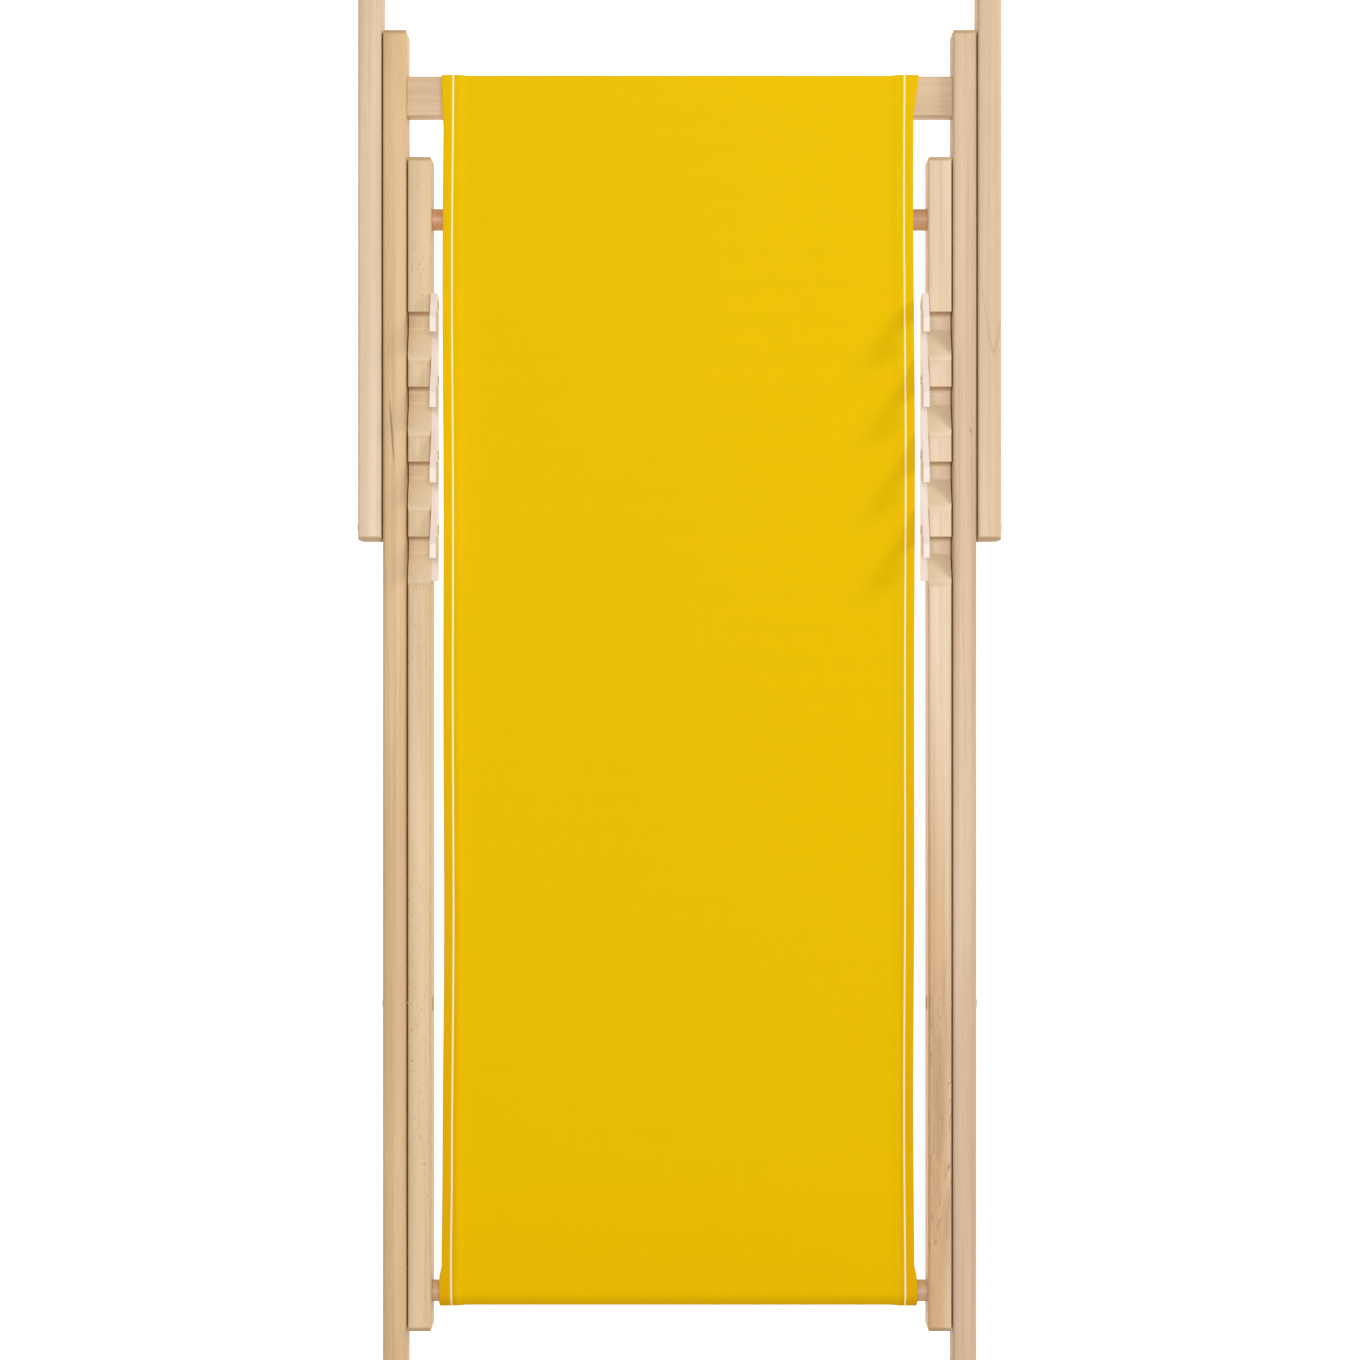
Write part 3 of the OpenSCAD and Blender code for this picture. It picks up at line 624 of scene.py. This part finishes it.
stitch_columns = [
    i for i, (x, depth) in enumerate(section)
    if abs(abs(x) - (HALF_W - STITCH_IN)) < 1e-6
]
steps = int((cloth_length - TAIL) / STITCH_PITCH) * STITCH_STEPS
bm = bmesh.new()
for column in stitch_columns:
    depth = section[column][1]
    for lift in (CLOTH_T / 2, depth - LAYER - CLOTH_T / 2):
        trail = [at_cloth(column, row, lift) for row in range(rows)]
        run = bmesh.ops.create_grid(bm, x_segments=THREAD_SIDES, y_segments=steps, size=0.5)["verts"]
        places, row = [], 0
        for step in range(steps + 1):
            position = STITCH_PITCH * (1 + step / STITCH_STEPS)
            while lengths[row + 1] < position:
                row += 1
            part = (position - lengths[row]) / (lengths[row + 1] - lengths[row])
            out = on_route(row)[1].lerp(on_route(row + 1)[1], part).normalized()
            full = abs(math.sin(math.pi * step / STITCH_STEPS)) ** 0.6
            places.append((trail[row].lerp(trail[row + 1], part), out, 0.55 + 0.45 * full))
        for vertex in run:
            side = round((vertex.co.x + 0.5) * THREAD_SIDES) % THREAD_SIDES
            centre, out, plump = places[round((vertex.co.y + 0.5) * steps)]
            angle = 2 * math.pi * side / THREAD_SIDES
            vertex.co = centre + out * (THREAD_H * plump * math.sin(angle))
            vertex.co.x += THREAD_W / 2 * (0.75 + 0.25 * plump) * math.cos(angle)
bmesh.ops.remove_doubles(bm, verts=bm.verts, dist=1e-6)
bmesh.ops.holes_fill(bm, edges=bm.edges, sides=THREAD_SIDES)
bmesh.ops.recalc_face_normals(bm, faces=bm.faces)
for face in bm.faces:
    face.smooth = True
thread_mesh = bpy.data.meshes.new("stitching")
bm.to_mesh(thread_mesh)
bm.free()
stitching = bpy.data.objects.new("stitching", thread_mesh)
bpy.context.scene.collection.objects.link(stitching)

finish, tree, shader = new_finish("cream thread", 0.6, Specular_IOR_Level=0.2)
twist = add(tree, "TexWave", {
    "Vector": add(tree, "TexCoord").outputs["Object"], "Scale": 420.0, "Distortion": 0.0,
}, bands_direction="DIAGONAL").outputs["Fac"]
# Painted shade of the twist: grooves deeper yellow, crests paler
cream = dye(tree, twist, (1.0, 0.85, 0.36, 1.0), (1.0, 0.92, 0.52, 1.0))
tree.links.new(cream, shader.inputs["Base Color"])
cord_bump = add(tree, "Bump", {"Strength": 0.3, "Distance": 0.0001, "Height": twist})
tree.links.new(cord_bump.outputs[0], shader.inputs["Normal"])
stitching.data.materials.append(finish)
for piece in (sling, stitching):
    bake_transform(piece)


# --- Tacks ----------------------------------------------------------------------
# Flat-headed steel tacks for the ends of the canvas: a row through it into the back of
# the front dowel, and a row in the back of the head rail, just past the cloth's end.

for name in ("head_tacks", "front_tacks"):
    finish_node(name, plain_steel)


# --- Studio ---------------------------------------------------------------------
# A pale level floor well below the chair, which gives the opened frames room to swing
# down, a dimmer surround, a broad light from in front and a smaller one from the right
# and the head end.

FLOOR_Z = -1.0
FLOOR_HALF = 12.0

bm = bmesh.new()
bmesh.ops.create_grid(
    bm, x_segments=1, y_segments=1, size=FLOOR_HALF, matrix=Matrix.Translation((0.0, 0.0, FLOOR_Z)),
)
floor_mesh = bpy.data.meshes.new("floor")
bm.to_mesh(floor_mesh)
bm.free()
floor = bpy.data.objects.new("floor", floor_mesh)
bpy.context.scene.collection.objects.link(floor)
pale_floor = new_finish(
    "pale floor", 0.9, Base_Color=(0.92, 0.92, 0.92, 1.0),
    Emission_Color=(1.0, 1.0, 1.0, 1.0), Emission_Strength=0.5,
)[0]
floor.data.materials.append(pale_floor)


def soft_light(name, towards, distance, size, power, colour):
    """Square area light that shines along a direction onto the middle of the chair."""
    lamp = bpy.data.lights.new(name, "AREA")
    lamp.shape = "SQUARE"
    lamp.size = size
    lamp.energy = power
    lamp.color = colour
    holder = bpy.data.objects.new(name, lamp)
    aim = Vector(towards).normalized()
    holder.location = -aim * distance
    holder.rotation_euler = aim.to_track_quat("-Z", "Y").to_euler()
    bpy.context.scene.collection.objects.link(holder)


soft_light("right light", (-0.745, -0.541, -0.391), 4.0, 0.9, 52.0, (1.0, 0.97, 0.94))
soft_light("front light", (0.0, 0.0, -1.0), 5.0, 2.0, 111.0, (1.0, 1.0, 1.0))

world = bpy.data.worlds.new("studio")
world.use_nodes = True
world.node_tree.nodes["Background"].inputs["Color"].default_value = (1.0, 1.0, 1.0, 1.0)
world.node_tree.nodes["Background"].inputs["Strength"].default_value = 0.47
bpy.context.scene.world = world
bpy.context.scene.view_settings.view_transform = "Standard"
bpy.context.scene.view_settings.look = "None"

# The camera looks straight down on the sitter's side, from three metres, and frames
# the folded chair so close that both ends lie outside the picture.
CAMERA_HEIGHT = 3.0
CAMERA_X = 0.0003
CAMERA_Y = 0.009
FRAMED = 1.2512
camera_data = bpy.data.cameras.new("camera")
camera_data.sensor_width = 36.0
camera_data.lens = camera_data.sensor_width * CAMERA_HEIGHT / FRAMED
camera = bpy.data.objects.new("camera", camera_data)
camera.location = (CAMERA_X, CAMERA_Y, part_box("main_rail_left")[1][2] + CAMERA_HEIGHT)
bpy.context.scene.collection.objects.link(camera)
bpy.context.scene.camera = camera
